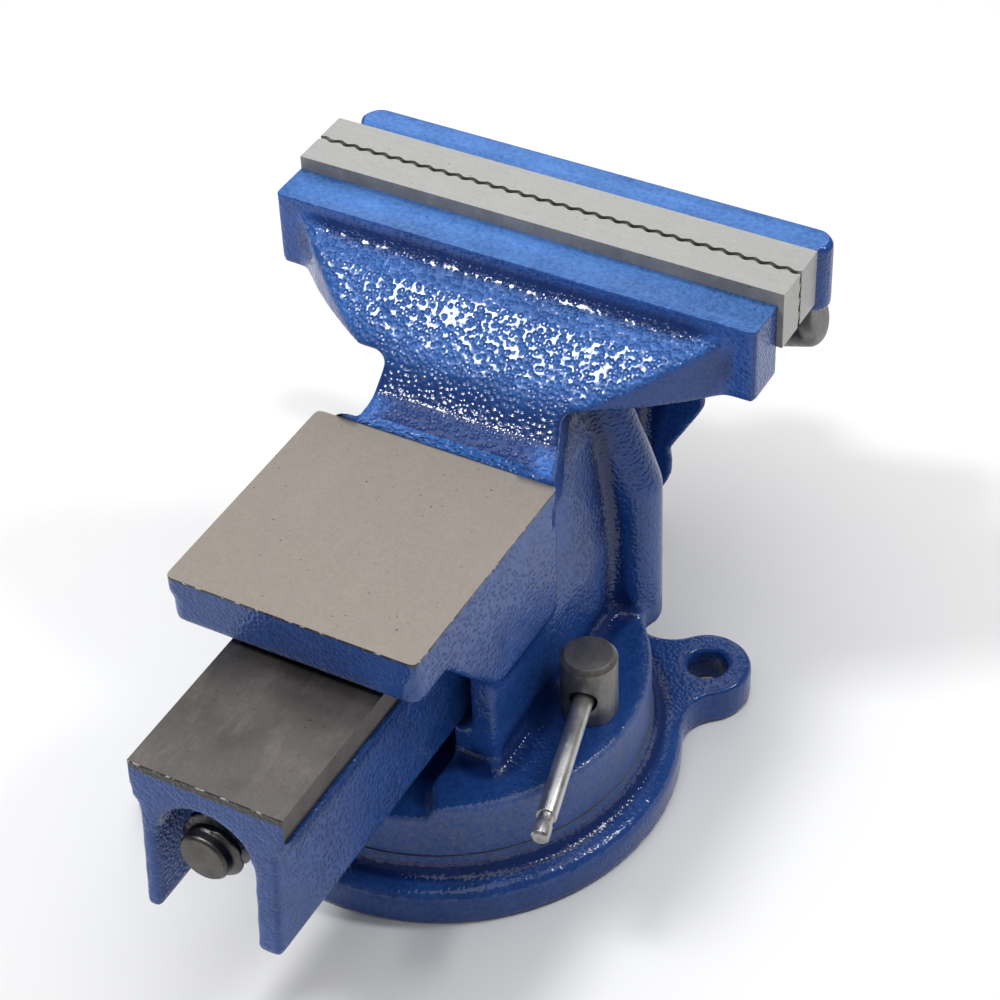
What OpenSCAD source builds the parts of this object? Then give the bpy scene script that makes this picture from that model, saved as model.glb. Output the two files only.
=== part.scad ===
// Bench vise on a swivel base, with a slide that runs through the body and an anvil behind the jaws.
// The origin is where the swivel axis meets the bench. +Z is up, the moving jaw and the handle
// face -Y, and the anvil and the tail of the slide face +Y. The vise is drawn nearly closed.

/* [Jaws] */
// Length of the two jaw plates
jaw_w = 150; // [147:1:153]
// Height of a jaw plate
plate_h = 17.7; // [16:0.1:19]
// Thickness of a jaw plate
plate_t = 10.6; // [9.5:0.1:11.5]
// Height of the jaw plates' top edge above the bench
jaw_top = 149.9; // [148:0.1:152]
// Gap left between the jaw plates when closed
jaw_gap = 0.4; // [0.2:0.1:1]
// Distance from the swivel axis forward to the closing plane of the jaws
grip_reach = 71; // [70:0.5:72]
// Height of the cast block behind the fixed plate
fixed_block_h = 23.9; // [23:0.1:25]
// Height of the cast block in front of the moving plate
moving_block_h = 21.4; // [21:0.1:23]
// Thickness of the fixed jaw's block
fixed_block_t = 13.8; // [13:0.1:15]
// Thickness of the moving jaw's block at its top
moving_block_t = 9.4; // [9:0.1:11]

/* [Slide] */
// Overall width of the slide across its lips
slide_w = 45.4; // [44:0.2:46]
// Height of the slide's machined top above the bench
slide_top = 95.5; // [95:0.1:95.7]
// Height of the slide from its feet to its top
slide_h = 48.1; // [47.8:0.1:48.4]
// Height of the machined lips along the top edges
lip_h = 12.7; // [11:0.1:14]
// How far a lip stands out from the leg below it
lip_out = 2.3; // [2:0.1:2.5]
// Thickness of a leg of the slide
leg_t = 5.7; // [5.5:0.1:6]
// Distance from the swivel axis back to the slide's tail
slide_tail = 118.4; // [112:0.2:120]
// Distance of the slide's middle plane from the swivel axis, towards +X
slide_x = -2.5; // [-3:0.1:0]

/* [Fixed body] */
// Width of the column across the slide tunnel
column_w = 68; // [67:0.5:69]
// Distance from the swivel axis back to the column's rear face
column_rear = 31.5; // [30:0.5:33]
// Diameter of the round foot that turns on the base
foot_d = 118.8; // [118:0.2:120]
// Height of the foot's upper face above the bench
foot_top = 36.6; // [36:0.1:37]
// Width of the anvil
anvil_w = 74.2; // [73:0.2:76]
// Length of the anvil
anvil_l = 75.3; // [70:0.1:80]
// Height of the anvil's ground face above the bench
anvil_top = 112.9; // [112:0.1:114]

/* [Swivel base] */
// Diameter of the base where it meets the bench
base_d = 136.6; // [134:0.2:140]
// Height of the joint between the base and the foot
joint_h = 18.4; // [18:0.1:19]
// Thickness of the fixing ears
ear_t = 12; // [10:0.5:12]
// Radius of the circle that the ears' holes lie on
ear_circle_r = 79.4; // [78:0.1:80]
// Diameter of the hole in each ear
ear_hole_d = 12; // [11:0.1:13]
// Angle of the first ear, counter-clockwise from +X
ear_angle = 43.4; // [35:0.1:50]

/* [Screw and handle] */
// Outside diameter of the lead screw's thread
screw_d = 19; // [18:0.1:19]
// Height of the lead screw's axis above the bench
screw_h = 70.4; // [70:0.1:70.8]
// Diameter of the screw's head
screw_head_d = 28; // [27:0.5:30]
// Diameter of the handle bar
handle_d = 13; // [12:0.1:13]
// Length of the handle over its knobs
handle_l = 165; // [160:1:175]
// How far the handle has slid to its lower side
handle_shift = 22.2; // [0:0.1:25]
// Slope of the handle, in degrees
handle_tilt = 17.6; // [0:0.1:30]

/* [Swivel locks] */
// Distance of a lock screw from the middle plane
lock_x = 46.2; // [46:0.1:46.6]
// Distance of a lock screw in front of the swivel axis
lock_forward = 1; // [0:0.1:3]
// Diameter of a lock screw's head
lock_head_d = 16.3; // [16:0.1:17]
// Height of a lock screw's top above the bench
lock_top = 57.4; // [56:0.1:58]
// Diameter of a lock screw's bar
lock_bar_d = 5.6; // [5:0.1:6.5]
// Length of a lock screw's bar
lock_bar_l = 70.4; // [68:0.1:72]
// Direction of the +X lock's bar, clockwise from +Y
lock_turn_left = 165; // [0:1:168]
// Direction of the -X lock's bar, counter-clockwise from +Y
lock_turn_right = 14.5; // [0:0.1:160]

/* [Hidden] */
$fn = 72;

// Overshoot of a cutting shape past the face it opens
cut = 1;
// Running clearance at each side of the slide, and under a part that turns on a flat face
slide_play = 0.3;
face_play = 0.1;
fit_play = 0.05;

paint = "royalblue";
ground_steel = "silver";
turned_steel = "dimgray";
black_steel = "#3c3c3e";

// Jaw planes, along Y
fixed_grip_y = -grip_reach + jaw_gap / 2;
moving_grip_y = -grip_reach - jaw_gap / 2;
fixed_seat_y = fixed_grip_y + plate_t;
moving_seat_y = moving_grip_y - plate_t;
fixed_back_y = fixed_seat_y + fixed_block_t;
moving_front_y = moving_seat_y - moving_block_t;
moving_block_w = jaw_w - 2.5;
moving_block_x = -1.25;
fixed_block_end = 1.8;
web_x = 1.1;

// The fixed block stands a little lower than its plate
fixed_block_top = jaw_top - 4.3;
fixed_block_low = fixed_block_top - fixed_block_h;
moving_block_low = jaw_top - moving_block_h;

// Plate screws
plate_screw_x = 45;
plate_screw_z = jaw_top - 9.3;
plate_screw_r = 3;
plate_screw_head_r = 6;
plate_screw_l = 20;

// Slide section
slide_low = slide_top - slide_h;
slide_hw = slide_w / 2;
tail_rake = 4.5;
leg_hw = slide_hw - lip_out;
channel_hw = leg_hw - leg_t;
channel_x = 1.4;
arch_z = slide_top - 9 - channel_hw;

// Moving jaw, front to back
wall_back_y = -98;
wall_front_y = -112;
boss_r = 21;
shank_r = screw_d / 2 + 0.2;

// The screw lies on the swivel axis' plane, beside the middle of the slide
screw_x = 0;
// Screw stations, along Y
collar_back_y = wall_front_y - 2.7;
collar_front_y = collar_back_y - 4;
handle_y = -130;
head_front_y = -143;
screw_tail_y = slide_tail + 1.6;
pin_y = -84.5;
pin_r = 1.5;
washer_t = 2;
spring_wire_r = 1;
spring_r = 11.2;
spring_turns = 4;

// Lead nut
nut_front_y = -45;
nut_back_y = -12;
nut_hw = channel_hw - abs(slide_x + channel_x - screw_x) - 1.2;
nut_top_r = nut_hw - 0.2;
nut_bolt_y = (nut_front_y + nut_back_y) / 2;
nut_bolt_r = 5;

// Fixed body
column_front_y = -62;
column_hw = column_w / 2;
neck_hw = 26;
tunnel_hw = slide_hw + slide_play;
tunnel_low = slide_low - slide_play;
tunnel_top = slide_top + 0.5;
mouth_hw = 24;
mouth_top = slide_top + 0.8;
foot_r = foot_d / 2;
foot_low = joint_h + face_play;
foot_floor = 29;
pocket_r = 38;
spigot_r = 16;
spigot_low = 9.8;
anvil_hw = anvil_w / 2;
anvil_front_y = -2.3;
anvil_rear_y = anvil_front_y + anvil_l;
anvil_low = anvil_top - 15;
anvil_boss_hw = 31;
rib_x = 36.5;
rib_y = -48.5;
rib_r = 8.2;
web_top = fixed_block_top - 4.7;

// Base ring, as radii of the slot that the T-nuts run in
base_r = base_d / 2;
lock_y = -lock_forward;
ring_r = norm([lock_x, lock_y]);
slot_hw = 5.7;
undercut_hw = 8.8;
undercut_low = 3.5;
undercut_top = 10.5;
hollow_r = 34.5;
hollow_top = 9;

// Swivel locks
lock_stem_r = 5;
lock_bar_h = 46;
lock_stub = 11;
lock_hole_r = 4;

// Handle
knob_l = 22;
knob_r = 8.6;
tang_l = 14;
tang_r = 4.5;

// ---- Outlines -------------------------------------------------------------------------------

// A half outline joined to its mirror image across the middle plane
module both_sides() {
    children();
    mirror([1, 0]) children();
}

// The same for solids
module left_and_right() {
    children();
    mirror([1, 0, 0]) children();
}

// An outline in X and Z swept along Y
module sweep_y(from_y, to_y) {
    translate([0, to_y, 0]) rotate([90, 0, 0]) linear_extrude(to_y - from_y) children();
}

// An outline in Y and Z swept across X
module sweep_x(half_width) {
    translate([-half_width, 0, 0]) rotate([90, 0, 90]) linear_extrude(2 * half_width) children();
}

// A cylinder along Y
module rod_y(from_y, to_y, r) {
    translate([0, to_y, 0]) rotate([90, 0, 0]) cylinder(h = to_y - from_y, r = r);
}

// A block with rounded upright edges, between two corners
module rounded_block(low, high, r) {
    size = high - low;
    translate(low) linear_extrude(size.z) {
        translate([r, 0]) square([size.x - 2 * r, size.y]);
        translate([0, r]) square([size.x, size.y - 2 * r]);
        for (x = [r, size.x - r], y = [r, size.y - r]) translate([x, y]) circle(r);
    }
}

// Half plan of the web that carries a jaw block: wide at the block, drawn in towards the column
module web_half_plan() {
    polygon([[0, fixed_seat_y], [66, fixed_seat_y], [66, fixed_back_y], [57.4, fixed_back_y + 8],
             [49.6, fixed_back_y + 14.2], [42.4, fixed_back_y + 19.2], [35.6, fixed_back_y + 23.6],
             [30, fixed_back_y + 28.4], [neck_hw, fixed_back_y + 33], [0, fixed_back_y + 33]]);
}

// Side view of the same web: it slopes back from the block and turns down into the neck
module web_profile() {
    polygon([[fixed_seat_y, web_top], [fixed_back_y, web_top], [fixed_back_y + 8.4, web_top - 5.1],
             [fixed_back_y + 17.4, web_top - 12.2],
             [fixed_back_y + 24.4, web_top - 18.1], [fixed_back_y + 29.4, web_top - 22.8],
             [fixed_back_y + 32.9, web_top - 26], [fixed_back_y + 36.5, anvil_top + 0.6],
             [anvil_front_y, anvil_top + 0.2], [anvil_front_y, anvil_low], [fixed_seat_y, anvil_low]]);
}

// Plan of the stock that joins the neck to the anvil's corner on the -X side
module neck_flare_plan() {
    polygon([[0, -30], [-26, -30], [-29, -20], [-33.4, -8], [-36, anvil_front_y], [0, anvil_front_y]]);
}

// Section through the column: upright sides with a flared foot, drawn in above the tunnel
module column_half_section() {
    polygon([[0, foot_floor], [column_hw + 2.5, foot_floor], [column_hw + 2.5, foot_top],
             [column_hw + 0.8, foot_top + 1], [column_hw, foot_top + 3.5], [column_hw, foot_top + 26],
             [column_hw - 1.4, foot_top + 40], [30.5, anvil_low - 6], [29, anvil_low + 4],
             [neck_hw, anvil_top - 2], [neck_hw, fixed_block_low + 2], [0, fixed_block_low + 2]]);
}

// Section of the slide: a machined top with lips, two legs and a round arch between them
module slide_section() {
    difference() {
        both_sides() polygon([[0, slide_low], [leg_hw, slide_low], [leg_hw, slide_top - lip_h],
                              [slide_hw, slide_top - lip_h], [slide_hw, slide_top], [0, slide_top]]);
        channel_section();
    }
}

// Channel under the slide, a little beside its middle, as the casting's core lies
module channel_section() {
    translate([channel_x - channel_hw, slide_low - cut]) square([2 * channel_hw, arch_z - slide_low + cut]);
    translate([channel_x, arch_z]) circle(channel_hw);
}

// Everything on one side of the moving jaw's flank, which draws in as it goes forward. At the jaw's
// rear plane its outline is the jaw's rear view below the block
module shield_flank() {
    draw_in = 30;
    across = cos(draw_in);
    translate([0, moving_seat_y, 0]) rotate([0, 0, -draw_in]) sweep_y(-60, 60)
        polygon([[-90, slide_low], [27 * across, slide_low], [30 * across, slide_low + 7],
                 [30.3 * across, slide_low + 13], [28.9 * across, slide_low + 15.6],
                 [39.1 * across, slide_low + 33.5], [40.7 * across, slide_low + 37],
                 [40.2 * across, slide_low + 44], [48 * across, moving_block_low - 15],
                 [64 * across, moving_block_low + 3], [64 * across, jaw_top - 5], [-90, jaw_top - 5]]);
}

// Haunch that carries the anvil's sides on the column
module haunch_half_section() {
    polygon([[0, 64], [33, 64], [anvil_hw - 0.5, 70], [anvil_hw, anvil_low - 4], [anvil_hw, anvil_low + 1],
             [0, anvil_low + 1]]);
}

module haunch_profile() {
    polygon([[anvil_front_y, 64], [column_rear - 2, 66.5], [column_rear, 69.5], [column_rear + 13, 82.8],
             [column_rear + 24, 95.5], [column_rear + 27, anvil_low], [column_rear + 27, anvil_low + 1],
             [anvil_front_y, anvil_low + 1]]);
}

// Side view of the moving jaw's front: it swells down and forward to the screw boss
module shield_profile() {
    polygon([[moving_seat_y, jaw_top - 5], [moving_front_y, jaw_top - 5], [-101, moving_block_low],
             [-107, slide_top + 6], [wall_front_y, screw_h + 15], [wall_front_y, slide_low + 8],
             [wall_front_y + 5, slide_low], [moving_seat_y, slide_low]]);
}

// ---- Castings -------------------------------------------------------------------------------

module ear_outline() {
    ear_r = 13;
    fillet_r = 12;
    to_rim = base_r + fillet_r;
    to_ear = ear_r + fillet_r;
    fillet_x = (to_rim ^ 2 - to_ear ^ 2 + ear_circle_r ^ 2) / (2 * ear_circle_r);
    fillet_y = sqrt(to_rim ^ 2 - fillet_x ^ 2);
    difference() {
        polygon([[0, 0], [fillet_x, -fillet_y], [ear_circle_r, 0], [fillet_x, fillet_y]]);
        for (side = [-1, 1]) translate([fillet_x, side * fillet_y]) circle(fillet_r);
    }
    translate([ear_circle_r, 0]) circle(ear_r);
}

module swivel_base() {
    shoulder_r = 3.5;
    cove_r = 4;
    step_r = foot_r + 0.4;
    color(paint) difference() {
        union() {
            rotate_extrude() {
                square([step_r, joint_h]);
                square([base_r - shoulder_r, ear_t]);
                square([base_r, ear_t - shoulder_r]);
                translate([base_r - shoulder_r, ear_t - shoulder_r]) circle(shoulder_r);
                difference() {
                    translate([step_r - cut, ear_t - cut]) square(cove_r + cut);
                    translate([step_r + cove_r, ear_t + cove_r]) circle(cove_r);
                }
            }
            for (turn = [0, 180]) rotate(ear_angle + turn) linear_extrude(ear_t) ear_outline();
        }
        for (turn = [0, 180]) rotate(ear_angle + turn) translate([ear_circle_r, 0, -cut])
            cylinder(h = ear_t + 2 * cut, d = ear_hole_d);
        rotate_extrude() {
            translate([ring_r - slot_hw, undercut_low]) square([2 * slot_hw, joint_h]);
            translate([ring_r - undercut_hw, undercut_low])
                square([2 * undercut_hw, undercut_top - undercut_low]);
            translate([0, -cut]) square([hollow_r, hollow_top + cut]);
            square([spigot_r + fit_play, joint_h + cut]);
        }
        // Window in the floor of the ring slot, through which the T-nuts go in
        rotate(ear_angle - 90) translate([ring_r - undercut_hw, -14, -cut])
            cube([2 * undercut_hw, 28, undercut_low + 2 * cut]);
    }
}

// A buttress that stands on the foot beside the column and leans in under the jaw
module side_rib() {
    lean = 20.5;
    bend_z = 79;
    translate([rib_x, rib_y, foot_floor]) cylinder(h = bend_z - foot_floor, r = rib_r);
    translate([rib_x, rib_y, bend_z]) {
        sphere(rib_r);
        rotate([0, -lean, 0]) cylinder(h = 46, r = rib_r);
    }
}

module fixed_jaw_body() {
    foot_edge_r = 1.5;
    notch_floor = 32.5;
    color(paint) difference() {
        union() {
            rotate_extrude() {
                translate([0, foot_low]) square([foot_r, foot_top - foot_low - foot_edge_r]);
                translate([0, foot_low]) square([foot_r - foot_edge_r, foot_top - foot_low]);
                translate([foot_r - foot_edge_r, foot_top - foot_edge_r]) circle(foot_edge_r);
            }
            // Column up to the tunnel's roof, then the neck under the web
            intersection() {
                sweep_y(column_front_y, column_rear) both_sides() column_half_section();
                union() {
                    translate([-foot_r, column_front_y, foot_floor])
                        cube([foot_d, column_rear - column_front_y, anvil_low + 6 - foot_floor]);
                    sweep_x(column_hw + cut) web_profile();
                }
                cylinder(h = jaw_top, r = 64);
            }
            // Web that spreads from the neck to the full width of the jaw
            intersection() {
                union() {
                    translate([web_x, 0, fixed_block_low]) linear_extrude(fixed_block_h)
                        both_sides() web_half_plan();
                    translate([0, 0, anvil_low]) linear_extrude(fixed_block_low + 5 - anvil_low)
                        neck_flare_plan();
                }
                sweep_x(jaw_w / 2) web_profile();
            }
            rounded_block([-jaw_w / 2 + fixed_block_end, fixed_seat_y, fixed_block_low],
                          [jaw_w / 2, fixed_back_y, fixed_block_top], 2);
            // Thicker middle of the anvil, just clear of the slide
            rounded_block([-anvil_boss_hw, anvil_front_y, mouth_top],
                          [anvil_boss_hw, anvil_rear_y - 4, anvil_top - 2], 6);
            intersection() {
                sweep_y(anvil_front_y, foot_r) both_sides() haunch_half_section();
                sweep_x(anvil_hw) haunch_profile();
            }
            rounded_block([-anvil_hw, anvil_front_y, anvil_low], [anvil_hw, anvil_rear_y, anvil_top], 4);
            left_and_right() side_rib();
        }
        // Tunnel for the slide, with a wider cast mouth at the rear
        translate([slide_x - tunnel_hw, column_front_y - cut, tunnel_low])
            cube([2 * tunnel_hw, anvil_rear_y - column_front_y + cut, tunnel_top - tunnel_low]);
        translate([slide_x - mouth_hw, column_rear - 12, tunnel_low])
            cube([2 * mouth_hw, foot_r, mouth_top - tunnel_low]);
        // Open back of the foot, under the slide, which widens at the rim
        translate([0, 0, notch_floor]) linear_extrude(tunnel_low + cut - notch_floor)
            both_sides() polygon([[0, column_rear - 12], [20.8, column_rear - 12], [20.8, 44], [26.4, 53],
                                  [26.4, foot_r + cut], [0, foot_r + cut]]);
        // Pocket in the underside, which leaves a spigot round the swivel axis
        rotate_extrude() {
            translate([spigot_r, foot_low - cut]) square([pocket_r - spigot_r, foot_floor - foot_low + cut]);
        }
        translate([screw_x, nut_bolt_y, foot_floor - cut]) cylinder(h = foot_floor, r = nut_bolt_r + 0.3);
        left_and_right() {
            translate([lock_x, lock_y, foot_low - cut])
                cylinder(h = foot_top - foot_low + 2 * cut, r = lock_stem_r + 0.3);
            translate([plate_screw_x, 0, plate_screw_z])
                rod_y(fixed_seat_y - cut, fixed_grip_y + plate_screw_l + 0.5, plate_screw_r + fit_play);
        }
    }
    color(paint) translate([0, 0, spigot_low])
        difference() {
            cylinder(h = foot_low - spigot_low, r = spigot_r);
            translate([0, 0, -cut]) cylinder(h = foot_low, r = spigot_r - 5);
        }
}

module moving_jaw() {
    color(paint) difference() {
        union() {
            intersection() {
                sweep_y(wall_front_y, slide_tail + tail_rake) slide_section();
                sweep_x(slide_w) polygon([[wall_front_y, slide_low], [slide_tail + tail_rake, slide_low],
                                          [slide_tail, slide_top], [wall_front_y, slide_top]]);
            }
            intersection() {
                shield_flank();
                mirror([1, 0, 0]) shield_flank();
                sweep_x(jaw_w / 2) shield_profile();
            }
            translate([moving_block_x, 0, 0])
                rounded_block([-moving_block_w / 2, moving_front_y, moving_block_low],
                              [moving_block_w / 2, moving_seat_y, jaw_top], 4.5);
            translate([screw_x - slide_x, 0, screw_h]) rod_y(wall_front_y, wall_back_y, boss_r);
        }
        sweep_y(wall_back_y, moving_seat_y + cut) channel_section();
        translate([screw_x - slide_x, 0, screw_h])
            rod_y(wall_front_y - cut, wall_back_y + cut, shank_r + fit_play);
        translate([-slide_x, 0, 0]) left_and_right() translate([plate_screw_x, 0, plate_screw_z])
            rod_y(moving_grip_y - plate_screw_l + 2, moving_seat_y + cut, plate_screw_r + fit_play);
    }
}

// ---- Jaw plates -----------------------------------------------------------------------------

// A plate with its back at y = 0 and its gripping face at y = -plate_t
module jaw_plate(top) {
    color(ground_steel) difference() {
        translate([-jaw_w / 2, -plate_t, top - plate_h]) cube([jaw_w, plate_t, plate_h]);
        left_and_right() translate([plate_screw_x, 0, plate_screw_z]) {
            rod_y(-plate_t - cut, cut, plate_screw_r + 0.2);
            translate([0, -plate_t - 0.01, 0]) rotate([-90, 0, 0])
                cylinder(h = 4.6, r1 = plate_screw_head_r + 1, r2 = plate_screw_r + 0.2);
        }
    }
}

// A pair of countersunk screws with slotted heads, whose heads are 1 mm below the gripping face
module plate_screw_pair(length) {
    color(black_steel) left_and_right() translate([plate_screw_x, 0, plate_screw_z]) difference() {
        union() {
            translate([0, -plate_t + 1, 0]) rotate([-90, 0, 0])
                cylinder(h = 3.3, r1 = plate_screw_head_r - 0.6, r2 = plate_screw_r);
            rod_y(-plate_t + 1, -plate_t + length, plate_screw_r);
        }
        translate([-plate_screw_head_r, -plate_t, -0.8]) cube([2 * plate_screw_head_r, 2.2, 1.6]);
    }
}

module fixed_jaw_plate() {
    translate([0, fixed_seat_y, 0]) jaw_plate(jaw_top - 0.2);
}

module moving_jaw_plate() {
    translate([0, moving_seat_y, 0]) mirror([0, 1, 0]) jaw_plate(jaw_top);
}

module fixed_plate_screws() {
    translate([0, fixed_seat_y, 0]) plate_screw_pair(plate_screw_l);
}

module moving_plate_screws() {
    translate([0, moving_seat_y, 0]) mirror([0, 1, 0]) plate_screw_pair(plate_screw_l - 3);
}

// ---- Lead screw -----------------------------------------------------------------------------

module lead_screw() {
    tail_l = 2;
    color(turned_steel) translate([0, 0, screw_h]) difference() {
        union() {
            rod_y(pin_y - 4, screw_tail_y - tail_l, screw_d / 2);
            translate([0, screw_tail_y - tail_l, 0]) rotate([-90, 0, 0])
                cylinder(h = tail_l, r1 = screw_d / 2, r2 = screw_d / 2 - 2.4);
            rod_y(collar_back_y - cut, pin_y - 4, shank_r);
            rod_y(collar_front_y, collar_back_y, screw_head_d / 2 + 2.2);
            rod_y(head_front_y + 2, collar_front_y, screw_head_d / 2);
            translate([0, head_front_y, 0]) rotate([-90, 0, 0])
                cylinder(h = 2, r1 = screw_head_d / 2 - 2, r2 = screw_head_d / 2);
        }
        translate([0, handle_y, 0]) rotate([0, 90 + handle_tilt, 0])
            cylinder(h = 2 * screw_head_d, r = handle_d / 2 + 0.3, center = true);
        translate([0, pin_y, 0]) cylinder(h = 2 * screw_d, r = pin_r + fit_play, center = true);
    }
}

module washer_y(from_y, thickness, bore_r, outer_r) {
    translate([0, 0, screw_h]) difference() {
        rod_y(from_y, from_y + thickness, outer_r);
        rod_y(from_y - cut, from_y + thickness + cut, bore_r);
    }
}

module thrust_washer() {
    color(ground_steel) washer_y(collar_back_y + fit_play, 2.55, shank_r + 0.3, boss_r - 4);
}

module spring_washer() {
    color(ground_steel) washer_y(pin_y - pin_r - washer_t - fit_play, washer_t, screw_d / 2 + 0.4, 12.2);
}

// Points round the wire at one station of the spring
function coil_ring(turn, sides, pitch) = [
    for (side = [0 : sides - 1])
        let (lift = spring_wire_r * sin(side * 360 / sides),
             reach = spring_r + spring_wire_r * cos(side * 360 / sides))
        [reach * cos(turn), turn / 360 * pitch + lift, reach * sin(turn)]
];

module screw_spring() {
    sides = 8;
    steps_per_turn = 20;
    steps = spring_turns * steps_per_turn;
    front_y = wall_back_y + fit_play + spring_wire_r;
    back_y = pin_y - pin_r - washer_t - 2 * fit_play - spring_wire_r;
    pitch = (back_y - front_y) / spring_turns;
    rings = [for (step = [0 : steps]) each coil_ring(step * 360 / steps_per_turn, sides, pitch)];
    tube = [for (step = [0 : steps - 1], side = [0 : sides - 1])
        let (near = step * sides, far = near + sides, next = (side + 1) % sides)
        [near + side, near + next, far + next, far + side]];
    caps = [[for (side = [sides - 1 : -1 : 0]) side], [for (side = [0 : sides - 1]) steps * sides + side]];
    color(turned_steel) translate([0, front_y, screw_h]) polyhedron(rings, concat(tube, caps));
}

// Split pin through the screw: a shank with a round eye at its upper end
module split_pin() {
    color(ground_steel) translate([0, pin_y, screw_h]) {
        translate([0, 0, -12]) cylinder(h = 21.6, r = pin_r);
        translate([0, 0, 10.6]) rotate([90, 0, 0]) rotate_extrude() translate([1.2, 0]) circle(0.7);
    }
}

// Nut on the floor of the tunnel; the slide straddles it
module lead_nut() {
    sole = tunnel_low;
    color("#5a5550") difference() {
        union() {
            sweep_y(nut_front_y, nut_back_y) translate([-nut_hw, sole]) square([2 * nut_hw, 9]);
            sweep_y(nut_front_y, nut_back_y)
                translate([-nut_top_r, sole]) square([2 * nut_top_r, screw_h - sole]);
            translate([0, 0, screw_h]) rod_y(nut_front_y, nut_back_y, nut_top_r);
        }
        translate([0, 0, screw_h]) rod_y(nut_front_y - cut, nut_back_y + cut, screw_d / 2 + 0.06);
        translate([0, nut_bolt_y, sole - cut]) cylinder(h = 16, r = nut_bolt_r + fit_play);
    }
}

// Hexagon-head bolt that holds the nut down from inside the foot
module nut_bolt() {
    head_h = 6.4;
    head_top = foot_floor - 2.6;
    color(black_steel) translate([0, nut_bolt_y, 0]) {
        translate([0, 0, head_top - head_h]) cylinder(h = head_h, r = 8.5, $fn = 6);
        translate([0, 0, head_top - cut]) cylinder(h = tunnel_low + 14 - head_top, r = nut_bolt_r);
    }
}

module nut_bolt_washer() {
    color(ground_steel) translate([0, nut_bolt_y, foot_floor - 2.55]) difference() {
        cylinder(h = 2.5, r = 8.2);
        translate([0, 0, -cut]) cylinder(h = 5, r = nut_bolt_r + 0.3);
    }
}

// ---- Handle ---------------------------------------------------------------------------------

// Places its child, which lies along Z, on the handle's axis
module on_handle() {
    translate([0, handle_y, screw_h]) rotate([0, 90 + handle_tilt, 0]) translate([0, 0, handle_shift])
        children();
}

module handle_bar() {
    straight = handle_l - 2 * knob_l;
    color(turned_steel) on_handle() {
        cylinder(h = straight, r = handle_d / 2, center = true);
        cylinder(h = straight + 2 * tang_l, r = tang_r, center = true);
    }
}

// A turned knob with a ring groove and a domed end, pressed on the bar's tang
module handle_knob() {
    dome_r = 3.5;
    groove_z = knob_l - 8;
    color(turned_steel) translate([0, 0, handle_l / 2 - knob_l]) rotate_extrude() difference() {
        union() {
            square([knob_r, knob_l - dome_r]);
            square([knob_r - dome_r, knob_l]);
            translate([knob_r - dome_r, knob_l - dome_r]) circle(dome_r);
        }
        square([tang_r, tang_l + 0.5]);
        translate([knob_r, groove_z]) circle(0.5);
    }
}

module handle_knob_left() {
    on_handle() handle_knob();
}

module handle_knob_right() {
    on_handle() mirror([0, 0, 1]) handle_knob();
}

// ---- Swivel locks ---------------------------------------------------------------------------

// Lock screw on the +X side: a cross-drilled round head over a plain stem. Turn is its bar's
// direction, clockwise from +Y
module lock_screw(turn) {
    head_low = foot_top + face_play;
    chamfer = 1.3;
    head_r = lock_head_d / 2;
    color(turned_steel) translate([lock_x, lock_y, 0]) difference() {
        union() {
            translate([0, 0, undercut_low + 1.5]) cylinder(h = head_low, r = lock_stem_r);
            translate([0, 0, head_low]) cylinder(h = lock_top - chamfer - head_low, r = head_r);
            translate([0, 0, lock_top - chamfer]) cylinder(h = chamfer, r1 = head_r, r2 = head_r - chamfer);
        }
        translate([0, 0, lock_bar_h]) rotate([-90, 0, -turn])
            cylinder(h = 2 * lock_head_d, r = lock_hole_r, center = true);
    }
}

// Bar of the lock on the +X side, with a necked tip at each end
module lock_bar(turn) {
    neck_l = 3.4;
    tip_l = 4.6;
    bar_r = lock_bar_d / 2;
    straight = lock_bar_l - 2 * (neck_l + tip_l);
    color(turned_steel) translate([lock_x, lock_y, lock_bar_h]) rotate([-90, 0, -turn])
        translate([0, 0, lock_bar_l / 2 - lock_stub]) {
            cylinder(h = straight, r = bar_r, center = true);
            cylinder(h = straight + 2 * neck_l + cut, r = bar_r - 0.6, center = true);
            for (end = [0, 1]) mirror([0, 0, end]) translate([0, 0, straight / 2 + neck_l]) {
                cylinder(h = tip_l - 0.6, r = bar_r - 0.25);
                translate([0, 0, tip_l - 0.6]) cylinder(h = 0.6, r1 = bar_r - 0.25, r2 = bar_r - 0.9);
            }
        }
}

// T-nut of the lock on the +X side: a curved foot in the undercut and a neck in the slot
module lock_t_nut() {
    play = 0.3;
    half_angle = 14;
    toward = atan2(lock_y, lock_x);
    color(black_steel) difference() {
        rotate(toward - half_angle) rotate_extrude(angle = 2 * half_angle) {
            translate([ring_r - undercut_hw + play, undercut_low + play])
                square([2 * (undercut_hw - play), undercut_top - undercut_low - 2 * play]);
            translate([ring_r - slot_hw + play, undercut_low + play])
                square([2 * (slot_hw - play), joint_h - undercut_low - 2 * play]);
        }
        translate([lock_x, lock_y, 0]) cylinder(h = joint_h + cut, r = lock_stem_r + fit_play);
    }
}

module lock_screw_left() { lock_screw(lock_turn_left); }
module lock_screw_right() { mirror([1, 0, 0]) lock_screw(lock_turn_right); }
module lock_bar_left() { lock_bar(lock_turn_left); }
module lock_bar_right() { mirror([1, 0, 0]) lock_bar(lock_turn_right); }
module lock_t_nut_left() { lock_t_nut(); }
module lock_t_nut_right() { mirror([1, 0, 0]) lock_t_nut(); }

// ---- Nodes ----------------------------------------------------------------------------------

module on_slide() {
    translate([slide_x, 0, 0]) children();
}

module on_screw() {
    translate([screw_x, 0, 0]) children();
}

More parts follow.
